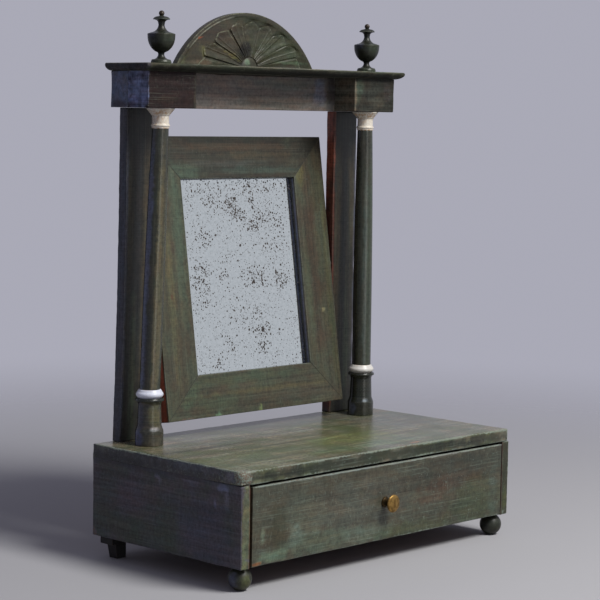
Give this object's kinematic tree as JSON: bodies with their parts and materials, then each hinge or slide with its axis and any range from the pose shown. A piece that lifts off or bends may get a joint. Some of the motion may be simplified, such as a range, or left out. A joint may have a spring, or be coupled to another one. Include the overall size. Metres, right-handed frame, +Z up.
{
  "type": "dressing table mirror",
  "caption": "Table-top dressing mirror with a carved pediment, turned columns, a tilting framed glass and a drawer in its box base on ball feet.",
  "frame": {"origin": "on the table top, under the middle of the object's bounding box", "axes": "+X to the right seen from the front, +Y to the back, +Z up; the drawer pulls out along -Y and the mirror turns about X"},
  "size_m": [0.39, 0.2408, 0.5365],
  "materials": {
    "green_paint": "worn grey-green paint",
    "dark_paint": "dark stained wood",
    "carcass_wood": "old bare wood",
    "drawer_wood": "bare softwood",
    "backing_wood": "old thin board",
    "alabaster": "polished, stained",
    "brass": "aged",
    "steel": "dull",
    "mirror": "foxed silvering"
  },
  "bodies": {
    "stand": {"base_top": "green_paint", "base_side_left": "green_paint", "base_side_right": "green_paint", "base_back": "carcass_wood", "base_bottom": "carcass_wood", "foot_front_left": "green_paint", "foot_front_right": "green_paint", "foot_back_left": "dark_paint", "foot_back_right": "dark_paint", "post_left": "green_paint", "post_right": "green_paint", "pedestal_left": "green_paint", "pedestal_right": "green_paint", "ring_left": "alabaster", "ring_right": "alabaster", "shaft_left": "green_paint", "shaft_right": "green_paint", "capital_left": "alabaster", "capital_right": "alabaster", "frieze_beam": "green_paint", "frieze_block_left": "green_paint", "frieze_block_right": "green_paint", "cornice": "green_paint", "pediment": "green_paint", "urn_left": "green_paint", "urn_right": "green_paint"},
    "drawer": {"drawer_front": "green_paint", "drawer_side_left": "drawer_wood", "drawer_side_right": "drawer_wood", "drawer_back": "drawer_wood", "drawer_bottom": "drawer_wood", "drawer_knob": "brass", "drawer_knob_nut": "brass"},
    "mirror": {"mirror_top_rail": "green_paint", "mirror_bottom_rail": "green_paint", "mirror_stile_left": "green_paint", "mirror_stile_right": "green_paint", "mirror_glass": "mirror", "mirror_backing": "backing_wood", "mirror_brads": "steel", "pivot_pin_left": "steel", "pivot_pin_right": "steel"}
  },
  "joints": [
    {"name": "drawer_slide", "type": "slide", "parent": "stand", "child": "drawer", "axis": [0, -1, 0], "range_m": [0, 0.15]},
    {"name": "mirror_tilt", "type": "hinge", "parent": "stand", "child": "mirror", "pos_m": [0, 0.09386, 0.275], "axis": [1, 0, 0], "continuous": true}
  ]
}
